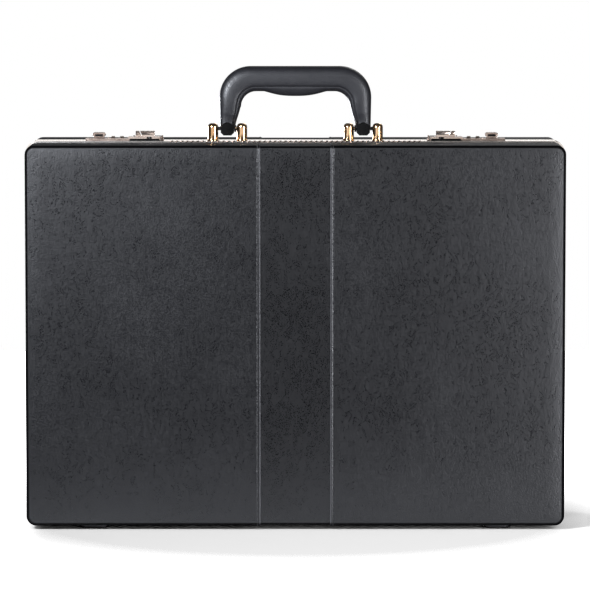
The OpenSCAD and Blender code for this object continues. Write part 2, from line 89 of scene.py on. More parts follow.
half_wide = lid_hi.x                          # middle to the side of the leather
z_low, z_high = lid_lo.z, lid_hi.z            # leather, bottom and top
z_middle = (z_low + z_high) / 2
half_tall = (z_high - z_low) / 2
y_face, y_lid_rim = lid_lo.y, lid_hi.y        # lid leather, front face and back edge
y_back, y_base_rim = base_hi.y, base_lo.y     # base leather, back face and front edge
seam_x = lid_lo.x                             # where a side panel ends over the middle panel
z_rail = rail_hi.z                            # top of the polished rails
y_handle = (grip_lo.y + grip_hi.y) / 2
leg_x = (end_lo.x + end_hi.x) / 2

CORNER = 8 * MM                               # outline radius of the case
ROLL = 3 * MM                                 # radius where leather rolls over an edge
SKIN = 1.4 * MM                               # leather thickness
DROP = 0.5 * MM                               # middle panel lies this much lower
STITCH_PITCH = 4.9 * MM
STITCH_INSET = 2.6 * MM                       # stitch line behind a folded edge
print("leather", round(2 * half_wide, 4), "x", round(2 * half_tall, 4), "rail top", round(z_rail, 4))

# %% [markdown]
# ## Meshes from arrays
# A surface here is an array of points with two indices. These helpers turn one grid, or an outer
# and an inner grid that share an edge, into a closed mesh. The signed volume of the closed mesh
# (a sum over its triangles) tells whether the faces look outwards, and flips them if they don't.


# %% Mesh helpers
def grid_faces(rows, columns, wrap_rows=False, wrap_columns=False):
    """Four corner indices of every cell of a rows x columns grid, as one array."""
    index = np.arange(rows * columns).reshape(rows, columns)
    if wrap_rows:
        index = np.vstack([index, index[:1]])
    if wrap_columns:
        index = np.hstack([index, index[:, :1]])
    corners = [index[:-1, :-1], index[1:, :-1], index[1:, 1:], index[:-1, 1:]]
    return np.stack(corners, -1).reshape(-1, 4)


def rim_faces(rows, columns):
    """Faces that join the border of a first grid to the border of a second grid behind it."""
    index = np.arange(rows * columns).reshape(rows, columns)
    border = np.concatenate([index[0, :-1], index[:-1, -1], index[-1, :0:-1], index[:0:-1, 0]])
    following = np.roll(border, -1)
    behind = rows * columns
    return np.stack([border, following, following + behind, border + behind], -1)


def signed_volume(points, faces):
    """Sum of (a x b) . c / 6 over the two triangles of each four-sided face."""
    a, b, c, d = (points[faces[:, k]] for k in range(4))
    return float(((np.cross(a, b) * c).sum() + (np.cross(a, c) * d).sum()) / 6)


def smooth_step(value, low, high):
    """0 below low, 1 above high, smooth between."""
    u = np.clip((value - low) / (high - low), 0, 1)
    return u * u * (3 - 2 * u)


def make_piece(name, points, faces, material, body, stands_for=(), smooth_below=35, caps=()):
    """Puts arrays into a mesh, turns its faces outwards, smooths it and hangs it on a body."""
    points = np.asarray(points, float).reshape(-1, 3)
    faces = [list(face) for face in faces.tolist()] + [list(cap) for cap in caps]
    if signed_volume(points, np.array([face for face in faces if len(face) == 4])) < 0:
        faces = [face[::-1] for face in faces]
    mesh = bpy.data.meshes.new(name)
    mesh.from_pydata(points.tolist(), [], faces)
    mesh.validate()
    mesh.shade_smooth()
    mesh.set_sharp_from_angle(angle=math.radians(smooth_below))
    piece = bpy.data.objects.new(name, mesh)
    bpy.context.scene.collection.objects.link(piece)
    piece.data.materials.append(material)
    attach(piece, body)
    if stands_for:
        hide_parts(*stands_for)
    return piece


def tube_faces(rows, columns):
    """Faces round a tube of rings, and one flat cap at each end."""
    first = list(range(columns))
    last = [(rows - 1) * columns + place for place in reversed(first)]
    return grid_faces(rows, columns, wrap_columns=True), [first, last]


def repeated(count, size, faces, caps=()):
    """The same faces and caps for many copies, of size points each, that follow each other."""
    starts = size * np.arange(count)
    return ((faces[None] + starts[:, None, None]).reshape(-1, 4),
            [[place + start for place in cap] for start in starts.tolist() for cap in caps])


def shell(outer, inner):
    """A closed skin from an outer and an inner grid of the same shape."""
    rows, columns = outer.shape[:2]
    front = grid_faces(rows, columns)
    back = front[:, ::-1] + rows * columns
    faces = np.concatenate([front, back, rim_faces(rows, columns)[:, ::-1]])
    return np.concatenate([outer.reshape(-1, 3), inner.reshape(-1, 3)]), faces


# %% [markdown]
# ## Shader node groups
# Leather grain, a slow drift in tone, fine scratches and a weave are each used by several
# materials, so each is a node group. A group puts out values only: the Principled shader stays in
# the material.


# %% Group helpers
def new_group(name, inputs, outputs):
    """An empty shader group with float sockets, and a Vector input for the place on the piece."""
    group = bpy.data.node_groups.new(name, "ShaderNodeTree")
    group.interface.new_socket("Place", in_out="INPUT", socket_type="NodeSocketVector")
    for label, value in inputs.items():
        socket = group.interface.new_socket(label, in_out="INPUT", socket_type="NodeSocketFloat")
        socket.default_value = value
    for label in outputs:
        group.interface.new_socket(label, in_out="OUTPUT", socket_type="NodeSocketFloat")
    return group, group.nodes.new("NodeGroupInput"), group.nodes.new("NodeGroupOutput")


def math_node(tree, operation, a, b=0.0, c=None):
    """One Math node; a, b and c are sockets or numbers."""
    node = tree.nodes.new("ShaderNodeMath")
    node.operation = operation
    for socket, value in zip(node.inputs, (a, b, c)):
        if isinstance(value, bpy.types.NodeSocket):
            tree.links.new(value, socket)
        elif value is not None:
            socket.default_value = value
    return node.outputs[0]


def scaled(tree, vector, factor):
    """The vector times a factor, which is a socket, a number or three numbers."""
    node = tree.nodes.new("ShaderNodeVectorMath")
    node.operation = "MULTIPLY" if isinstance(factor, tuple) else "SCALE"
    tree.links.new(vector, node.inputs[0])
    if isinstance(factor, tuple):
        node.inputs[1].default_value = factor
    elif isinstance(factor, bpy.types.NodeSocket):
        tree.links.new(factor, node.inputs["Scale"])
    else:
        node.inputs["Scale"].default_value = factor
    return node.outputs[0]


def noise(tree, vector, scale, detail=2.0, roughness=0.5):
    """Noise from 0 to 1 at so many waves a metre."""
    node = tree.nodes.new("ShaderNodeTexNoise")
    node.inputs["Scale"].default_value = scale
    node.inputs["Detail"].default_value = detail
    node.inputs["Roughness"].default_value = roughness
    tree.links.new(vector, node.inputs["Vector"])
    return node.outputs["Fac"]


def stretch(tree, value, low, high, to_low=0.0, to_high=1.0):
    """Maps low..high to to_low..to_high, held at both ends."""
    node = tree.nodes.new("ShaderNodeMapRange")
    tree.links.new(value, node.inputs[0])
    for socket, number in zip(node.inputs[1:5], (low, high, to_low, to_high)):
        socket.default_value = number
    return node.outputs[0]


# %% [markdown]
# ### Leather grain
# Tanned leather is a net of small rounded pebbles with fine valleys between them, a few longer
# creases that run through many pebbles, and soft wrinkles a few millimetres wide. Voronoi cells
# give the pebbles. Their places are bent by a noise first, because straight cell walls look like
# cracked mud. The wrinkles are a plain noise on places that aren't bent.

# %% Leather grain
grain, grain_in, grain_out = new_group(
    "leather_grain", {"Pebbles a metre": 900.0, "Creases": 0.4, "Wrinkles": 3.0},
    ["Height", "Valley", "Wrinkle"])
bend = grain.nodes.new("ShaderNodeTexNoise")
bend.inputs["Scale"].default_value = 260.0
grain.links.new(grain_in.outputs["Place"], bend.inputs["Vector"])
bent = grain.nodes.new("ShaderNodeVectorMath")
bent.operation = "MULTIPLY_ADD"
bent.inputs[1].default_value = (0.0022, 0.0022, 0.0022)
grain.links.new(bend.outputs["Color"], bent.inputs[0])
grain.links.new(grain_in.outputs["Place"], bent.inputs[2])
pebbles = grain.nodes.new("ShaderNodeTexVoronoi")
pebbles.feature = "SMOOTH_F1"
pebbles.inputs["Scale"].default_value = 1.0
pebbles.inputs["Smoothness"].default_value = 0.35
cells = scaled(grain, bent.outputs[0], grain_in.outputs["Pebbles a metre"])
grain.links.new(cells, pebbles.inputs["Vector"])
valley = stretch(grain, pebbles.outputs["Distance"], 0.28, 0.62)
streaks = scaled(grain, bent.outputs[0], (120.0, 120.0, 260.0))
crease = noise(grain, streaks, 1.0, detail=4.0, roughness=0.6)
crease = math_node(grain, "ABSOLUTE", math_node(grain, "SUBTRACT", crease, 0.5))
crease = math_node(grain, "SUBTRACT", 1.0, stretch(grain, crease, 0.0, 0.05))
crease = math_node(grain, "MULTIPLY", crease, grain_in.outputs["Creases"])
depth = math_node(grain, "MAXIMUM", valley, crease)
ripples = scaled(grain, grain_in.outputs["Place"], (260.0, 260.0, 150.0))
wrinkle = noise(grain, ripples, 1.0, detail=3.0, roughness=0.6)
pebble_top = math_node(grain, "SUBTRACT", 1.0, depth)
relief = math_node(grain, "MULTIPLY_ADD", wrinkle, grain_in.outputs["Wrinkles"], pebble_top)
grain.links.new(relief, grain_out.inputs["Height"])
grain.links.new(stretch(grain, wrinkle, 0.3, 0.7), grain_out.inputs["Wrinkle"])
grain.links.new(depth, grain_out.inputs["Valley"])

# %% Slow drift in tone
drift, drift_in, drift_out = new_group("tone_drift", {"Waves a metre": 9.0}, ["Drift"])
place = scaled(drift, drift_in.outputs["Place"], drift_in.outputs["Waves a metre"])
drift.links.new(stretch(drift, noise(drift, place, 1.0, 3.0), 0.3, 0.7), drift_out.inputs["Drift"])

# %% [markdown]
# ### Polishing lines
# Rails and stamped plates are polished on a wheel, which leaves very fine lines along their
# length. A noise that is stretched along X reads as such lines in the roughness and in a bump.

# %% Polishing lines
lines, lines_in, lines_out = new_group("polish_lines", {"Lines a metre": 5000.0}, ["Line"])
drawn_out = scaled(lines, lines_in.outputs["Place"], (0.02, 1.0, 1.0))
place = scaled(lines, drawn_out, lines_in.outputs["Lines a metre"])
lines.links.new(noise(lines, place, 1.0, 2.0), lines_out.inputs["Line"])

# %% Weave of the lining
weave, weave_in, weave_out = new_group("lining_weave", {"Threads a metre": 1600.0}, ["Height"])
place = scaled(weave, weave_in.outputs["Place"], weave_in.outputs["Threads a metre"])
axes = weave.nodes.new("ShaderNodeSeparateXYZ")
weave.links.new(place, axes.inputs[0])
across = math_node(weave, "SINE", math_node(weave, "ADD", axes.outputs[0], axes.outputs[1]))
along = math_node(weave, "SINE", math_node(weave, "ADD", axes.outputs[2], axes.outputs[1]))
weave.links.new(
    math_node(weave, "MULTIPLY_ADD", math_node(weave, "MULTIPLY", across, along), 0.5, 0.5),
    weave_out.inputs["Height"])


# %% [markdown]
# ## Materials
# Each finish is one function of a few plain numbers. Colours are linear. Numbers that are the
# same all over sit on the shader's own sockets, and only what changes over the surface is linked.


# %% Material helpers
def start_material(name, **sockets):
    """A Principled material with fixed socket values, and the piece's own coordinates."""
    material = bpy.data.materials.new(name)
    material.use_nodes = True
    tree = material.node_tree
    shader = tree.nodes["Principled BSDF"]
    for label, value in sockets.items():
        shader.inputs[label.replace("_", " ")].default_value = value
    place = tree.nodes.new("ShaderNodeTexCoord").outputs["Object"]
    return material, tree, shader, place


def use_group(tree, group, place, **values):
    """Places a group in a material with its own values."""
    node = tree.nodes.new("ShaderNodeGroup")
    node.node_tree = group
    tree.links.new(place, node.inputs["Place"])
    for label, value in values.items():
        node.inputs[label.replace("_", " ")].default_value = value
    return node


def between(tree, mask, dark, light):
    """A colour between two, by a mask."""
    node = tree.nodes.new("ShaderNodeMix")
    node.data_type = "RGBA"
    tree.links.new(mask, node.inputs["Factor"])
    node.inputs["A"].default_value = (*dark, 1)
    node.inputs["B"].default_value = (*light, 1)
    return node.outputs["Result"]


def bump(tree, shader, height, distance, strength=1.0):
    """A Bump node between a height and the shader's Normal."""
    node = tree.nodes.new("ShaderNodeBump")
    node.inputs["Strength"].default_value = strength
    node.inputs["Distance"].default_value = distance
    tree.links.new(height, node.inputs["Height"])
    tree.links.new(node.outputs["Normal"], shader.inputs["Normal"])


def leather(name, dark, light, shine, pebbles, depth):
    """Dyed leather: grain in the bump, darker valleys, and a slow drift of tone and shine.

    Two attributes of the mesh change it. rolled paints shade round the edge roll, and less on the
    walls: there the colour falls to a tenth and the leather turns metallic and rougher, so it
    shows dark. fold paints a highlight along the folded edge of a side panel with a lighter grey.
    """
    material, tree, shader, place = start_material(name, IOR=1.5)
    relief = use_group(tree, grain, place, Pebbles_a_metre=pebbles, Creases=0.1, Wrinkles=4.0)
    rolled = tree.nodes.new("ShaderNodeAttribute")
    rolled.attribute_name = "rolled"
    fold = tree.nodes.new("ShaderNodeAttribute")
    fold.attribute_name = "fold"
    tone = use_group(tree, drift, place, Waves_a_metre=14.0)
    shade = math_node(tree, "MULTIPLY_ADD", relief.outputs["Valley"], -0.55, 1.0)
    drifting = stretch(tree, tone.outputs["Drift"], 0.0, 1.0, 0.7, 1.0)
    shade = math_node(tree, "MULTIPLY", shade, drifting)
    # Painted shade: the colour falls to a tenth where rolled is 1, round the edge roll.
    painted_roll_shade = stretch(tree, rolled.outputs["Fac"], 0.0, 1.0, 1.0, 0.1)
    shade = math_node(tree, "MULTIPLY", shade, painted_roll_shade)
    # Painted highlight: a lighter grey along the folded edge, by the fold attribute.
    painted_fold_highlight = tree.nodes.new("ShaderNodeMix")
    painted_fold_highlight.data_type = "RGBA"
    tree.links.new(math_node(tree, "MULTIPLY", fold.outputs["Fac"], 0.8), painted_fold_highlight.inputs["Factor"])
    tree.links.new(between(tree, shade, dark, light), painted_fold_highlight.inputs["A"])
    painted_fold_highlight.inputs["B"].default_value = (0.060, 0.060, 0.064, 1)
    tree.links.new(painted_fold_highlight.outputs["Result"], shader.inputs["Base Color"])
    tree.links.new(math_node(tree, "MULTIPLY", rolled.outputs["Fac"], 0.9), shader.inputs["Metallic"])
    rough = math_node(tree, "MULTIPLY_ADD", relief.outputs["Valley"], 0.18, shine)
    rough = math_node(tree, "MULTIPLY_ADD", relief.outputs["Wrinkle"], 0.08, rough)
    rough = math_node(tree, "MULTIPLY_ADD", rolled.outputs["Fac"], 0.7, rough)
    rough = math_node(tree, "MULTIPLY_ADD", tone.outputs["Drift"], 0.06, rough)
    tree.links.new(rough, shader.inputs["Roughness"])
    bump(tree, shader, relief.outputs["Height"], depth)
    return material


def polished(name, dark, light, shine):
    """Polished metal: fine lines in the shine, tarnish in the tone."""
    LINE_DEPTH = 0.000004
    material, tree, shader, place = start_material(name, Metallic=1.0)
    line = use_group(tree, lines, place)
    tone = use_group(tree, drift, place, Waves_a_metre=70.0)
    tree.links.new(between(tree, tone.outputs["Drift"], dark, light), shader.inputs["Base Color"])
    rough = math_node(tree, "MULTIPLY_ADD", line.outputs["Line"], 0.10, shine)
    tree.links.new(rough, shader.inputs["Roughness"])
    bump(tree, shader, line.outputs["Line"], LINE_DEPTH, 0.35)
    return material


# %% The finishes
case_leather = leather(
    "case_leather", (0.0012, 0.0012, 0.0015), (0.0036, 0.0036, 0.0046), 0.215, 950.0, 0.00004)
# The middle panel takes a darker copy of the case leather: painted shade, as the middle of the face
# lies dimmer than its sides.
shaded_middle_leather = leather(
    "shaded_middle_leather", (0.0010, 0.0010, 0.0012), (0.0026, 0.0026, 0.0034), 0.195, 950.0, 0.00004)
handle_leather = leather(
    "handle_leather", (0.003, 0.003, 0.0036), (0.012, 0.012, 0.015), 0.28, 1200.0, 0.00003)
organiser_leather = leather(
    "organiser_leather", (0.030, 0.027, 0.025), (0.075, 0.069, 0.064), 0.45, 800.0, 0.00008)
polished_rail = polished("polished_rail", (0.80, 0.75, 0.70), (0.93, 0.90, 0.86), 0.10)
gold_posts = polished("gold_posts", (0.74, 0.46, 0.24), (0.88, 0.62, 0.38), 0.08)
lock_bronze = polished("lock_bronze", (0.34, 0.26, 0.22), (0.60, 0.50, 0.44), 0.20)
# The hasps are a lighter copy of the lock bronze: painted highlight on their tabs.
hasp_bronze_painted_highlight = polished("hasp_bronze_painted_highlight", (0.62, 0.50, 0.43), (0.86, 0.76, 0.70), 0.16)
dial_metal = polished("dial_metal", (0.42, 0.33, 0.27), (0.62, 0.50, 0.42), 0.24)
hinge_brass = polished("hinge_brass", (0.55, 0.42, 0.22), (0.72, 0.58, 0.34), 0.24)
plain_steel = polished("plain_steel", (0.45, 0.45, 0.46), (0.62, 0.62, 0.63), 0.24)
# Near black steel for the handle pins, and for the strikes as painted shadow under the hasps.
dark_steel_and_shadow = polished("dark_steel_and_shadow", (0.03, 0.03, 0.03), (0.09, 0.09, 0.09), 0.25)
case_zinc = polished("lock_case_zinc", (0.36, 0.36, 0.37), (0.50, 0.50, 0.52), 0.34)


def moulded(name, dark, light, shine, depth):
    """Moulded plastic or rubber: a fine even texture and a little variation in tone."""
    material, tree, shader, place = start_material(name, IOR=1.48)
    tone = use_group(tree, drift, place, Waves_a_metre=60.0)
    tree.links.new(between(tree, tone.outputs["Drift"], dark, light), shader.inputs["Base Color"])
    fine = noise(tree, place, 2600.0, 3.0)
    tree.links.new(stretch(tree, fine, 0.3, 0.7, shine, shine + 0.12), shader.inputs["Roughness"])
    bump(tree, shader, fine, depth, 0.6)
    return material


# Black moulding for the handle fittings and collars, and for the boxes of painted shade in the locks.
black_fitting = moulded(
    "black_fitting", (0.002, 0.002, 0.002), (0.006, 0.006, 0.006), 0.12, 0.00001)
black_feet = moulded("black_feet", (0.006, 0.006, 0.006), (0.016, 0.016, 0.016), 0.45, 0.00003)
board = moulded("board", (0.06, 0.05, 0.04), (0.12, 0.10, 0.08), 0.75, 0.00005)
thread = moulded("thread", (0.008, 0.008, 0.009), (0.022, 0.022, 0.024), 0.5, 0.00002)
bead_metal = polished("bead_metal", (0.12, 0.08, 0.06), (0.34, 0.25, 0.20), 0.2)


def lining_cloth(name, dark, light):
    """Woven lining: a plain weave in the bump and the colour, with a soft sheen."""
    material, tree, shader, place = start_material(name, Sheen_Weight=0.35, Sheen_Roughness=0.5)
    cloth = use_group(tree, weave, place)
    tone = use_group(tree, drift, place, Waves_a_metre=25.0)
    mask = math_node(tree, "MULTIPLY_ADD", cloth.outputs["Height"], 0.6,
                     math_node(tree, "MULTIPLY", tone.outputs["Drift"], 0.4))
    tree.links.new(between(tree, mask, dark, light), shader.inputs["Base Color"])
    rough = stretch(tree, cloth.outputs["Height"], 0.0, 1.0, 0.85, 0.7)
    tree.links.new(rough, shader.inputs["Roughness"])
    bump(tree, shader, cloth.outputs["Height"], 0.00012)
    return material


lining_fabric = lining_cloth("lining_fabric", (0.07, 0.06, 0.052), (0.15, 0.13, 0.115))
print("materials:", len(bpy.data.materials))

# %% [markdown]
# ## The camera
# It looks at the front from a long way off and a little above, through a long lens, so the case
# is almost square on and only a thin strip of its top shows. Part of the framing is a small lens
# shift, which keeps the upright edges close to parallel.

# %% Camera
CAMERA_BACK = 3.0                             # in front of the lid's face
CAMERA_SIDE = -0.0003
CAMERA_UP = 0.520
CAMERA_TILT = math.radians(4.925)
CAMERA_LENS = 217.6
LENS_SHIFT = -0.12                            # in widths of the picture

lens = bpy.data.cameras.new("camera")
lens.lens = CAMERA_LENS
lens.sensor_width = 36.0
lens.shift_y = LENS_SHIFT
lens.clip_end = 20
camera = bpy.data.objects.new("camera", lens)
camera.location = (CAMERA_SIDE, y_face - CAMERA_BACK, CAMERA_UP)
camera.rotation_euler = (math.pi / 2 - CAMERA_TILT, 0, 0)
bpy.context.scene.collection.objects.link(camera)
bpy.context.scene.camera = camera

# %% [markdown]
# ## The leather skins
# Each half of the case is a tray, and its leather is cut flat and wrapped over the face, round
# the edge and down the four walls. The wrap is a function of the flat place (a, b): inside the
# core rectangle the leather lies on the face, and outside it the larger of the two overhangs
# says how far round the edge a point goes, while their difference says which way it faces at a
# corner. So a square grid covers the corner without a hole or a fold.

# %% The wrap
EASE = 13 * MM                                # the face starts to fall away this far from an edge
FALL = 0.45 * MM                              # how much lower it lies where the roll starts


def wrap(a, b, lift):
    """Place of the flat point (a, b), raised by lift, measured from the middle of the face.

    overhang = larger of |a| - core width and |b| - core height, not below 0;
    turn = 0 at a side wall, 45 degrees at a corner's middle, 90 degrees at the top or bottom;
    bend = (overhang - flat part) / roll radius, from 0 on the face to 90 degrees on a wall;
    out = flat part + roll * sin(bend);
    deep = roll * (1 - cos(bend)) + what is left of the overhang.
    """
    core_x, core_z = half_wide - CORNER, half_tall - CORNER
    over_x = np.maximum(np.abs(a) - core_x, 0)
    over_z = np.maximum(np.abs(b) - core_z, 0)
    over = np.maximum(over_x, over_z)
    turn = np.pi / 4 * (1 + (over_z - over_x) / np.maximum(over, 1e-12))
    flat = CORNER - ROLL
    angle = np.clip((over - flat) / ROLL, 0, np.pi / 2)
    out = np.minimum(over, flat) + ROLL * np.sin(angle) + lift * np.sin(angle)
    deep = ROLL * (1 - np.cos(angle)) + np.maximum(over - flat - ROLL * np.pi / 2, 0)
    inside_x = np.clip((half_wide - ROLL - np.abs(a)) / EASE, 0, 1)
    inside_z = np.clip((half_tall - ROLL - np.abs(b)) / EASE, 0, 1)
    level = (1 - (1 - inside_x) ** 2) * (1 - (1 - inside_z) ** 2)
    deep = deep + FALL * (1 - level) * np.cos(angle) - lift * np.cos(angle)
    x = np.sign(a) * (np.minimum(np.abs(a), core_x) + out * np.cos(turn))
    z = np.sign(b) * (np.minimum(np.abs(b), core_z) + out * np.sin(turn))
    return x, deep, z, angle


def on_half(a, b, lift, half):
    """The wrap placed on the lid (face to -Y) or on the base (face to +Y)."""
    x, deep, z, angle = wrap(a, b, lift)
    y = y_face + deep if half == "lid" else y_back - deep
    return np.stack([x, y, z_middle + z], -1)


def steps(*stops):
    """Places from stop to stop, where each stop after the first is (place, number of steps)."""
    places = [np.array([stops[0]])]
    for place, count in stops[1:]:
        places.append(np.linspace(places[-1][-1], place, count + 1)[1:])
    return np.concatenate(places)


def overhang(half):
    """Flat length from the core rectangle to the leather's edge at the rail."""
    wall = (y_lid_rim - y_face if half == "lid" else y_back - y_base_rim) - ROLL
    return CORNER - ROLL + ROLL * np.pi / 2 + wall


def edge_stops(core, half):
    """Stops from the face's easing over the roll to the leather's edge."""
    roll_start = core + CORNER - ROLL
    return [(roll_start, 10), (roll_start + ROLL * np.pi / 2, 8), (core + overhang(half), 6)]


def mark_roll(panel, a, b):
    """Keeps how far each point lies round the roll, where shade is painted, and how near it is
    to a folded edge, where a highlight is painted.

    rolled climbs from 0 at 6 degrees to 1 at 20 degrees of bend, and falls to a third on a wall;
    fold = exp(-((t - 0.5 mm) / 0.4 mm) squared), with t the distance from the folded edge.
    """
    angle = np.degrees(wrap(a, b, 0 * a)[3])
    rolled = smooth_step(angle, 6, 20) * (1 - 0.65 * smooth_step(angle, 60, 88))
    fold = np.exp(-((np.abs(a) - seam_x - 0.5 * MM) / (0.4 * MM)) ** 2) * (np.abs(a) > seam_x)
    for label, values in (("rolled", rolled), ("fold", fold)):
        layer = panel.data.attributes.new(label, "FLOAT", "POINT")
        layer.data.foreach_set("value", np.tile(values.ravel(), 2))


# %% Folded edge of a side panel
def fold_lift(t):
    """Height of a side panel at distance t from its folded edge over the middle panel.

    A quarter round at the very edge, a low swelling behind it, and a furrow under the stitches.
    """
    ROUND = 0.7 * MM
    fall = 1 - np.sqrt(1 - np.clip(1 - t / ROUND, 0, 1) ** 2)
    swelling = 0.22 * MM * np.exp(-((t - 1.1 * MM) / (0.9 * MM)) ** 2)
    furrow = 0.26 * MM * np.exp(-((t - STITCH_INSET) / (0.5 * MM)) ** 2)
    return swelling - furrow - DROP * fall


def side_panel(name, side, half):
    """Leather from the folded edge over one side of a half, as an outer and an inner grid."""
    columns = steps(seam_x, (seam_x + 0.7 * MM, 5), (seam_x + 4.2 * MM, 14), (seam_x + 12 * MM, 4),
                    (half_wide - ROLL - EASE, 14), *edge_stops(half_wide - CORNER, half))
    rows = steps(0.0, (half_tall - ROLL - EASE, 40), *edge_stops(half_tall - CORNER, half))
    rows = np.concatenate([-rows[:0:-1], rows])
    a, b = np.meshgrid(side * columns, rows, indexing="ij")
    t = np.abs(a) - seam_x
    outer = on_half(a, b, fold_lift(t), half)
    inner = on_half(a, b, np.full_like(a, -SKIN), half)
    points, faces = shell(outer, inner)
    panel = make_piece(name, points, faces, case_leather, half, [name])
    mark_roll(panel, a, b)
    return panel


def middle_panel(name, half):
    """The lower panel between the folded edges."""
    columns = steps(-seam_x, (seam_x, 16))
    rows = steps(0.0, (half_tall - ROLL - EASE, 20), *edge_stops(half_tall - CORNER, half))
    rows = np.concatenate([-rows[:0:-1], rows])
    a, b = np.meshgrid(columns, rows, indexing="ij")
    outer = on_half(a, b, np.full_like(a, -DROP), half)
    inner = on_half(a, b, np.full_like(a, -SKIN), half)
    points, faces = shell(outer, inner)
    panel = make_piece(name, points, faces, shaded_middle_leather, half, [name])
    mark_roll(panel, a, b)


for half in ("lid", "base"):
    for side, word in ((-1, "left"), (1, "right")):
        panel = side_panel(f"{half}_cover_{word}", side, half)
    middle_panel(f"{half}_cover_middle", half)
print("a side panel has", len(panel.data.polygons), "faces")

# %% [markdown]
# ### Stitches
# The side panels are sewn down 2.6 mm behind their folded edges. One stitch is a short sausage
# that dives into its holes at both ends. It is drawn once in flat leather places and sent through
# the same wrap for every pitch, so the row follows the leather over the edges.


# %% Stitches
def stitch_row(name, side, half):
    """All stitches of one seam: sausage points in flat places, repeated by broadcasting."""
    LENGTH, RADIUS = 3.5 * MM, 0.33 * MM
    RINGS, SIDES = 7, 6
    t = np.linspace(-1, 1, RINGS)[:, None]
    turn = np.linspace(0, 2 * np.pi, SIDES + 1)[None, :-1]
    girth = RADIUS * np.sqrt(np.maximum(1 - t ** 4, 0.02))
    across = girth * np.cos(turn) + 0.16 * MM * t
    along = LENGTH / 2 * t + 0 * turn
    up = girth * np.sin(turn) - 0.05 * MM - 0.42 * MM * t ** 4
    reach = half_tall - CORNER + overhang(half) - 3 * MM
    count = int(reach / STITCH_PITCH)
    middles = STITCH_PITCH * np.arange(-count, count + 1)[:, None, None]
    a = side * (seam_x + STITCH_INSET + across)[None] + 0 * middles
    b = middles + along[None]
    points = on_half(a, b, up[None] + 0 * middles, half)
    faces, caps = repeated(len(middles), RINGS * SIDES, *tube_faces(RINGS, SIDES))
    make_piece(name, points, faces, thread, half, smooth_below=60, caps=caps)
    return len(middles)


for half in ("lid", "base"):
    for side, word in ((-1, "left"), (1, "right")):
        number = stitch_row(f"{half}_stitches_{word}", side, half)
print("stitches in the last row:", number)

# %% [markdown]
# ## Softened copies
# A stamped or machined part never has a perfectly sharp edge, and it is the edge that catches the
# light. The CAD meshes are loose triangles, so each is copied, its doubled points are merged,
# flat areas are joined, and a small live Bevel rounds what is left sharp.


# %% Softened copies
def softened(node, material, width, segments=2, angle=32):
    """A copy of a CAD node with merged points and bevelled edges, in its place."""
    source = frame["nodes"][node]
    mesh = source.data.copy()
    mesh.materials.clear()
    mesh.materials.append(material)
    work = bmesh.new()
    work.from_mesh(mesh)
    bmesh.ops.remove_doubles(work, verts=work.verts, dist=0.000002)
    bmesh.ops.dissolve_limit(
        work, angle_limit=math.radians(0.6), verts=work.verts, edges=work.edges)
    for face in work.faces:
        face.smooth = True
        face.material_index = 0
    work.to_mesh(mesh)
    work.free()
    mesh.set_sharp_from_angle(angle=math.radians(angle))
    piece = bpy.data.objects.new(node + "_part", mesh)
    bpy.context.scene.collection.objects.link(piece)
    edge = piece.modifiers.new("edge", "BEVEL")
    edge.width = width
    edge.segments = segments
    edge.limit_method = "ANGLE"
    edge.angle_limit = math.radians(angle)
    edge.harden_normals = True
    edge.use_clamp_overlap = True
    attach(piece, source["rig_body"])
    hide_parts(node)
    return piece


def both(*stems):
    """The left and the right node of each stem."""
    return [stem + side for stem in stems for side in ("_left", "_right")]


SOFT_ROWS = [                                 # nodes, finish, slot, width of the rounding in mm
    (["lid_rail", "base_rail"], polished_rail, "polished_rail", 0.35),
    (["lid_feet", "base_feet"], black_feet, "black_feet", 0.6),
    (["lid_hinge_leaves", "base_hinge_leaves"], hinge_brass, "hinge_brass", 0.12),
    # The strikes are near black: painted shadow under the hasps.
    (both("strike"), dark_steel_and_shadow, "lock_bronze", 0.15),
    (both("lock_plate"), lock_bronze, "lock_bronze", 0.2),
    (both("slide_button"), lock_bronze, "lock_bronze", 0.4),
    (both("hasp"), hasp_bronze_painted_highlight, "lock_bronze", 0.25),
    (both("handle_end"), black_fitting, "black_fitting", 0.9),
    (["lid_divider", "lid_pocket"], organiser_leather, "organiser_leather", 0.8),
    (["lid_pen_loops"], organiser_leather, "organiser_leather", 0.3),
    (both("base_stay", "lid_stay") + ["lid_stay_studs", "base_stay_studs"],
     plain_steel, "plain_steel", 0.2),
    ([f"dial_{side}_{number}" for side in ("left", "right") for number in (1, 2, 3)],
     dial_metal, "dial_metal", 0.18),
]
for nodes, finish, slot, width in SOFT_ROWS:
    for node in nodes:
        softened(node, finish, width * MM)
print("softened copies:", sum(len(row[0]) for row in SOFT_ROWS))

# %% [markdown]
# ### Painted shade in the locks
# The recess in the front of each release button and the gap under each hasp are dark with shade,
# and both are painted: a flat black box that stands a little proud, seen only as a thin black line.

# %% Painted shade in the locks
BOX_FACES = [(0, 1, 3, 2), (4, 6, 7, 5), (0, 4, 5, 1), (2, 3, 7, 6), (0, 2, 6, 4), (1, 5, 7, 3)]


def painted_shade_box(name, node, across, rise):
    """Painted shade on the front of a lock part: a thin black box from two corners, 0.12 mm proud.

    across is its reach as shares of the part's width, rise its lowest and highest place.
    """
    low, high = (np.array(corner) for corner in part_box(node))
    x = low[0] + (high[0] - low[0]) * np.array(across)
    start, stop = (x[0], low[1] - 0.12 * MM, rise[0]), (x[1], low[1] + 0.4 * MM, rise[1])
    u, v, w = np.indices((2, 2, 2)).reshape(3, -1)
    points = np.stack([np.where(k, b, a) for k, a, b in zip((u, v, w), start, stop)], -1)
    faces = np.array(BOX_FACES)
    make_piece(name, points, faces, black_fitting, frame["nodes"][node]["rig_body"])
    print(name, "on", node, np.round(low, 4), np.round(high, 4))


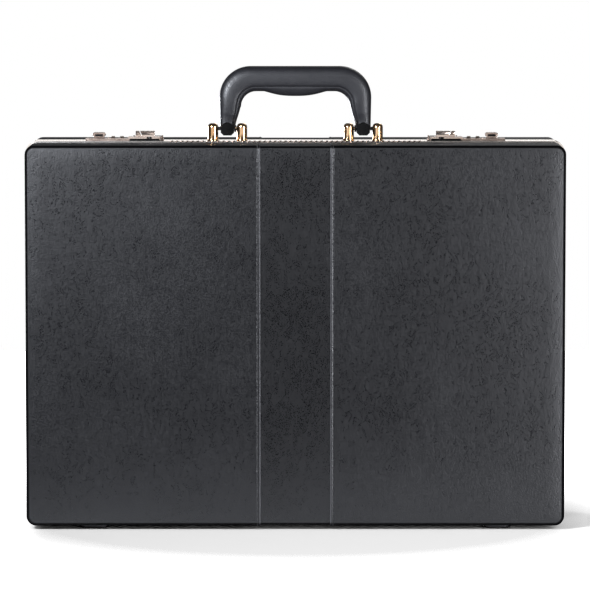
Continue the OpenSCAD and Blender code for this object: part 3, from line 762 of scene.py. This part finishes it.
for side in ("left", "right"):
    button, strike = f"slide_button_{side}", f"strike_{side}"
    top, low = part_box(button)[1].z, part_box(strike)[0].z
    # Painted shade in each button's recess, and painted shadow under each hasp.
    painted_shade_box(f"button_groove_{side}", button, (0.2, 0.8), (top - 3.2 * MM, top - 1.3 * MM))
    painted_shade_box(f"strike_gasket_{side}", strike, (0.01, 0.99), (low + 0.1 * MM, low + 2.0 * MM))

# %% Finishes on the CAD nodes that stay
KEPT_NODES = {
    board: ["lid_shell", "base_shell"], lining_fabric: ["lid_lining", "base_lining"],
    plain_steel: ["hinge_pins", "post_nuts", "dial_shaft_left", "dial_shaft_right",
                  "hasp_pin_left", "hasp_pin_right", "slide_spring_left", "slide_spring_right",
                  "handle_core"],
    dark_steel_and_shadow: ["handle_pins"],
    case_zinc: ["lock_case_left", "lock_case_right"], lock_bronze: ["lock_rivets"],
}
for material, nodes in KEPT_NODES.items():
    for node in nodes:
        holder = frame["nodes"][node]
        for place_in_list in range(len(holder.material_slots)):
            holder.material_slots[place_in_list].material = material

# %% [markdown]
# ## The handle
# The grip is a leather-covered arch. Its outline is three curves in the plane of the handle: the
# outer edge, the inner edge, and the seam between them where the upper leather meets the pad
# underneath. At every station along the arch the section is a rounded box between the outer and
# the inner curve, and the seam splits it into the two skins.

# %% Curves of the handle
ARCH_HALF, ARCH_TOP, ARCH_R = grip_hi.x, grip_hi.z, 27 * MM
seam_half, seam_top, seam_r = ARCH_HALF - 14.6 * MM, ARCH_TOP - 17.6 * MM, 17 * MM
pad_half, pad_top, pad_r = seam_half - 4 * MM, seam_top - 4 * MM, 13 * MM
LEG_LOW = grip_lo.z                           # lowest leather of a leg
LEG_OPENING = 7.5 * MM                        # rise of the opening in the front of a leg
FOOT_W = 12.8 * MM                            # width of a leg at its foot
LEG_TAPER = 34 * MM                           # height over which a leg narrows to its foot


def arch_curve(t, half, top, radius):
    """x and z along half an arch, t from 0 at the foot over the bend (1 to 2) to the middle (3).

    Leg: x = -half, z rises evenly. Bend: a quarter circle. Top: z = top, x runs to 0.
    """
    bend = np.clip(t - 1, 0, 1) * np.pi / 2
    x = -half + radius * (1 - np.cos(bend))
    leg_end = top - radius
    z = np.where(t < 1, LEG_LOW + (leg_end - LEG_LOW) * t, leg_end + radius * np.sin(bend))
    x = np.where(t > 2, (-half + radius) * (3 - t), x)
    return x, z


def stations(count_leg=26, count_bend=30, count_top=34):
    """Station numbers from the left foot over the top to the right foot, and the sign of x."""
    half = np.concatenate([np.linspace(0, 1, count_leg)[:-1], np.linspace(1, 2, count_bend)[:-1],
                           np.linspace(2, 3, count_top)])
    t = np.concatenate([half, half[-2::-1]])
    sign = np.concatenate([np.ones(len(half)), -np.ones(len(half) - 1)])
    return t, sign


def handle_frame():
    """Middle, half width, half thickness, direction and seam place of every section."""
    t, sign = stations()
    outer_x, outer_z = arch_curve(t, ARCH_HALF, ARCH_TOP, ARCH_R)
    inner_x, inner_z = arch_curve(t, pad_half, pad_top, pad_r)
    seam_cx, seam_cz = arch_curve(t, seam_half, seam_top, seam_r)
    low = 1 - smooth_step(outer_z, LEG_LOW, LEG_LOW + LEG_TAPER)
    foot = -leg_x - FOOT_W / 2
    outer_x = outer_x + (foot - outer_x) * low * (t < 1)
    inner_x = inner_x + (foot + FOOT_W - inner_x) * low * (t < 1)
    seam_cx = seam_cx + (foot + FOOT_W * 0.86 - seam_cx) * low * (t < 1)
    outer = np.stack([sign * outer_x, outer_z], -1)
    inner = np.stack([sign * inner_x, inner_z], -1)
    seam = np.stack([sign * seam_cx, seam_cz], -1)
    middle = (outer + inner) / 2
    half_w = np.linalg.norm(outer - inner, axis=1) / 2
    way = (outer - inner) / (2 * half_w[:, None])
    split = np.clip(((seam - middle) * way).sum(1) / half_w, -0.93, 0.9)
    thick = (grip_hi.y - grip_lo.y) / 2 * (1 - 0.3 * low)
    return t, middle, half_w, thick, way, split


SWELL = 4.1 * MM                              # finger swell under the pad
SWELL_REACH = 29 * MM                         # from the middle to where the swell ends
PAD_SET_BACK = 0.9                            # the pad is a little thinner than the upper leather
SQUARENESS = 0.78                             # 1 gives an ellipse, smaller a rounder box


def power(value):
    """Signed power that turns a circle into a rounded box."""
    return np.sign(value) * np.abs(value) ** SQUARENESS


def handle_skin(upper):
    """Grid of the upper leather, or of the pad under it.

    A section point is middle + half width * c * way + thickness * s * Y, where c and s are the
    cosine and sine of the turn raised to a power. The upper leather takes the turns whose c is
    above the seam, the pad takes the rest and swells where the fingers lie.
    """
    t, middle, half_w, thick, way, split = handle_frame()
    edge = np.arccos(np.sign(split) * np.abs(split) ** (1 / SQUARENESS))
    sweep = np.linspace(-1, 1, 37)
    span = edge[:, None] if upper else np.pi - edge[:, None]
    turn = span * sweep if upper else np.pi + span * sweep
    c, s = power(np.cos(turn)), power(np.sin(turn))
    from_edge = (1 - np.abs(sweep)) * span * half_w[:, None]
    tuck = 1 - (0.05 if upper else 0.06) * np.exp(-(from_edge / (0.6 * MM)) ** 2)
    x = middle[:, :1] + half_w[:, None] * c * tuck * way[:, :1]
    z = middle[:, 1:] + half_w[:, None] * c * tuck * way[:, 1:]
    y = thick[:, None] * s * tuck * (1 if upper else PAD_SET_BACK)
    if not upper:
        under = np.clip((split[:, None] - c) / (split[:, None] + 1), 0, 1)
        swell = SWELL * (1 - np.clip(np.abs(middle[:, :1]) / SWELL_REACH, 0, 1) ** 2.6) ** 1.3
        z = z - swell * under * (t[:, None] > 1.8)
    rise = LEG_OPENING * np.sqrt(np.maximum(1 - c ** 2, 0)) * (1 - np.clip(t[:, None] / 0.6, 0, 1))
    z = z + rise * (t[:, None] < 0.6)
    return np.stack([x, y + y_handle, z], -1)


def closed_skin(grid):
    """Closes a skin that is bent along its length: a wall joins its two long edges, and each end
    turns in over the thickness of the leather and goes up inside the leg."""
    bridge = grid[:, -1:] + (grid[:, :1] - grid[:, -1:]) * np.linspace(0, 1, 6)[None, 1:-1, None]
    rings = np.concatenate([grid, bridge], 1)
    ends = rings[[0, -1]]
    hub = ends.mean(1, keepdims=True)
    turned = hub + (ends - hub) * 0.84 + np.array([0, 0, 0.2 * MM])
    deep = hub + (ends - hub) * 0.76 + np.array([0, 0, 8 * MM])
    rings = np.concatenate([deep[:1], turned[:1], rings, turned[1:], deep[1:]])
    return rings, *tube_faces(*rings.shape[:2])


for upper, name in ((True, "handle_cover"), (False, "handle_pad")):
    rings, faces, caps = closed_skin(handle_skin(upper))
    skin = make_piece(name, rings, faces, handle_leather, "handle", [name],
                      caps=caps)
print("handle skins:", len(skin.data.polygons), "faces each")

# %% [markdown]
# ## Posts, collars and the bead
# The four posts are turned from brass and plated. A turned part is a profile carried round an
# axis: a small foot ring, a straight shank and a domed top.


# %% Turned parts
POST_RING = 4.95 * MM                         # radius of a post's foot ring, its widest place
RING_LIP = 0.3 * MM


def turned_part(profile, centre, axis, count=48):
    """A profile of (radius, height) points carried round an axis through centre, as rings."""
    radius, height = np.asarray(profile, float).T
    angle = np.linspace(0, 2 * np.pi, count, endpoint=False)
    ring = np.stack([radius[:, None] * np.cos(angle), radius[:, None] * np.sin(angle),
                     height[:, None] + 0 * angle], -1)
    if axis == "x":
        ring = ring[..., [2, 0, 1]]
    return ring + np.asarray(centre)


def arc(middle_r, middle_h, radius, start, stop, count=9):
    """Points on a quarter round of a profile, angles in degrees from the radius direction."""
    angle = np.radians(np.linspace(start, stop, count))
    return [(middle_r + radius * math.cos(a), middle_h + radius * math.sin(a)) for a in angle]


def handle_post_profile():
    """Shank into the rail, foot ring with rounded lip, straight side and domed top."""
    tall = post_hi.z - z_rail
    shank, side, dome = 2 * MM, 4.45 * MM, 3.2 * MM
    return ([(shank, post_lo.z - z_rail), (shank, 0), (POST_RING, 0)]
            + arc(POST_RING - RING_LIP, RING_LIP, RING_LIP, 0, 80, 5)
            + arc(side + RING_LIP, 0.9 * MM, RING_LIP, 260, 180, 5)
            + [(side, tall * 0.5)] + arc(side - dome, tall - dome, dome, 0, 88, 12)
            + [(0.3 * MM, tall)])


post_x = [sign * x for sign in (-1, 1)
          for x in (post_hi.x - POST_RING, 2 * leg_x - post_hi.x + POST_RING)]
posts = np.stack([turned_part(handle_post_profile(), (x, y_handle, z_rail), "z") for x in post_x])
faces, caps = repeated(4, posts[0].size // 3, *tube_faces(*posts.shape[1:3]))
make_piece("handle_posts", posts, faces, gold_posts, "base", ["handle_posts"],
           smooth_below=40, caps=caps)

# %% Collars on the handle pins
pin_lo, pin_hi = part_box("handle_pins")
pin_z = (pin_lo.z + pin_hi.z) / 2
COLLAR = [(1.5, 0.0), (2.5, 0.0), (2.9, 0.35), (2.9, 1.35), (2.5, 1.7), (1.5, 1.7)]
collar = np.array(COLLAR) * MM
collars = np.stack([turned_part(collar, (x, y_handle, pin_z), "x", 28) for x in
                    (-end_lo.x + 0.2 * MM, end_lo.x - 1.9 * MM)])
faces, caps = repeated(2, collars[0].size // 3, grid_faces(6, 28, True, True))
make_piece("pin_collars", collars, faces, black_fitting, "handle")

# %% [markdown]
# ### The bead
# Between the locks a twisted metal bead runs along the front of the lid's rail. Each twist is a
# small slanted sausage on the rail's front wall.


# %% Bead
def bead_row():
    """Slanted sausages side by side along X, and their faces."""
    LENGTH, RADIUS, SLANT = 3.2 * MM, 0.6 * MM, math.radians(24)
    pitch = 4.4 * MM
    RINGS, SIDES = 7, 8
    t = np.linspace(-1, 1, RINGS)[:, None]
    turn = np.linspace(0, 2 * np.pi, SIDES + 1)[None, :-1]
    girth = RADIUS * np.sqrt(np.maximum(1 - np.abs(t) ** 3, 0.03))
    along = LENGTH / 2 * t + 0 * turn
    up, out = girth * np.cos(turn), girth * np.sin(turn)
    x = along * math.cos(SLANT) - up * math.sin(SLANT)
    z = along * math.sin(SLANT) + up * math.cos(SLANT)
    reach = plate_lo.x - 5 * MM
    count = int(reach / pitch)
    middles = pitch * np.arange(-count, count + 1)[:, None, None]
    z_line = (z_high + z_rail) / 2 + 0.35 * MM
    y = y_lid_rim - 0.35 * MM + out + 0 * middles
    points = np.stack([middles + x, y, z_line + z + 0 * middles], -1)
    faces, caps = repeated(len(middles), RINGS * SIDES, *tube_faces(RINGS, SIDES))
    return points, faces, caps


points, faces, caps = bead_row()
make_piece("rail_bead", points, faces, bead_metal, "lid", smooth_below=60,
           caps=caps)

# %% [markdown]
# ## Light and floor
# The key light is a small soft box near the case, high on the left, and a tall one stands on the
# right, because small lights close by give leather its strong fall from light to dark. Polished
# metal only shows what stands opposite, so it gets two panels of its own, linked to the metal
# pieces, and the inside has a lamp that falls on lining and organiser alone. The sky is white for
# the camera and dim for everything else, so the leather stays deep.
#
# The floor catches the shadow and fades out round the case. An Ambient Occlusion node that looks
# downwards turns it clear wherever something hangs just below it, as the open lid does.


# %% Lights
def soft_box(name, place, aim, size, power, colour=(1, 1, 1)):
    """An area light at place that looks at aim."""
    data = bpy.data.lights.new(name, "AREA")
    data.shape = "RECTANGLE"
    data.size, data.size_y = size
    data.energy = power
    data.color = colour
    lamp = bpy.data.objects.new(name, data)
    way = np.array(aim, float) - np.array(place, float)
    flat = math.hypot(way[0], way[1])
    lamp.location = place
    lamp.rotation_euler = (math.atan2(flat, -way[2]), 0, math.atan2(way[1], way[0]) - math.pi / 2)
    lamp.visible_camera = False
    bpy.context.scene.collection.objects.link(lamp)
    return lamp


def only_on(lamp, finishes):
    """Lets a lamp fall only on the pieces with these finishes, as screens do in a studio."""
    group = bpy.data.collections.new(lamp.name + "_pieces")
    for piece in bpy.context.scene.objects:
        if piece.type == "MESH" and any(slot.material in finishes for slot in piece.material_slots):
            group.objects.link(piece)
    lamp.light_linking.receiver_collection = group


METALS = [polished_rail, gold_posts, lock_bronze, hasp_bronze_painted_highlight, dial_metal, hinge_brass, plain_steel,
          bead_metal]
soft_box("key", (-0.50, -0.66, 0.56), (-0.22, y_face, 0.30), (0.22, 0.22), 14.8, (0.92, 0.96, 1.04))
soft_box("right", (0.60, -0.70, 0.24), (0.22, y_face, 0.20), (0.12, 0.7), 10.5, (0.94, 0.96, 1.02))
soft_box("front", (0.0, -2.4, 1.5), (0, y_face, 0.18), (2.0, 1.2), 1.0)
backdrop = soft_box(
    "backdrop", (0.0, 1.6, 0.475), (0, 0, 0.475), (2.4, 0.16), 1.7, (1.0, 0.96, 0.93))
fill = soft_box("fill", (0.0, -1.5, 0.12), (0, 0, 0.32), (2.4, 0.5), 3.4, (1.0, 0.95, 0.92))
inside = soft_box("inside", (0.0, -0.9, 1.3), (0, -0.12, 0.05), (1.0, 0.6), 9.0)
only_on(inside, [lining_fabric, organiser_leather])
only_on(backdrop, METALS)
only_on(fill, METALS)
soft_box("behind", (0.9, 2.4, 1.9), (0, y_back, 0.18), (1.2, 0.8), 14.0)
soft_box("back key", (-0.42, 0.80, 0.20), (0.0, y_back, 0.18), (0.3, 0.24), 9.0, (0.94, 0.97, 1.02))

world = bpy.data.worlds.new("studio")
bpy.context.scene.world = world
world.use_nodes = True
sky = world.node_tree
background = sky.nodes["Background"]
ray = sky.nodes.new("ShaderNodeLightPath")
strength = stretch(sky, ray.outputs["Is Camera Ray"], 0, 1, 0.05, 1.0)
sky.links.new(strength, background.inputs["Strength"])
background.inputs["Color"].default_value = (1, 1, 1, 1)
bpy.context.scene.view_settings.view_transform = "Standard"

# %% Floor
FLOOR_HALF = 1.2
FADE_X, FADE_Y = 0.46, 0.36                   # half axes of the ellipse where the floor ends
FADE_START = 0.48                             # share of the half axes where it starts to fade
LOOK_DOWN = 0.3                               # how far below it the floor feels for a piece
floor_mesh = bpy.data.meshes.new("floor")
corners = FLOOR_HALF * np.array([(-1, -1, 0), (1, -1, 0), (1, 1, 0), (-1, 1, 0)])
floor_mesh.from_pydata(corners.tolist(), [], [(0, 1, 2, 3)])
floor = bpy.data.objects.new("floor", floor_mesh)
bpy.context.scene.collection.objects.link(floor)
floor.is_shadow_catcher = True
floor_finish, tree, shader, place = start_material("floor", Roughness=0.8)
pale = between(tree, noise(tree, place, 3.0), (0.86, 0.86, 0.86), (0.92, 0.92, 0.92))
tree.links.new(pale, shader.inputs["Base Color"])
reach = tree.nodes.new("ShaderNodeVectorMath")
reach.operation = "LENGTH"
tree.links.new(scaled(tree, place, (1 / FADE_X, 1 / FADE_Y, 0.0)), reach.inputs[0])
under = tree.nodes.new("ShaderNodeAmbientOcclusion")
under.inside = True
under.samples = 24
under.inputs["Distance"].default_value = LOOK_DOWN
clear_below = stretch(tree, under.outputs["AO"], 0.86, 0.99)
patch = stretch(tree, reach.outputs["Value"], FADE_START, 1.0, 1.0, 0.0)
tree.links.new(math_node(tree, "MULTIPLY", patch, clear_below), shader.inputs["Alpha"])
floor_mesh.materials.append(floor_finish)
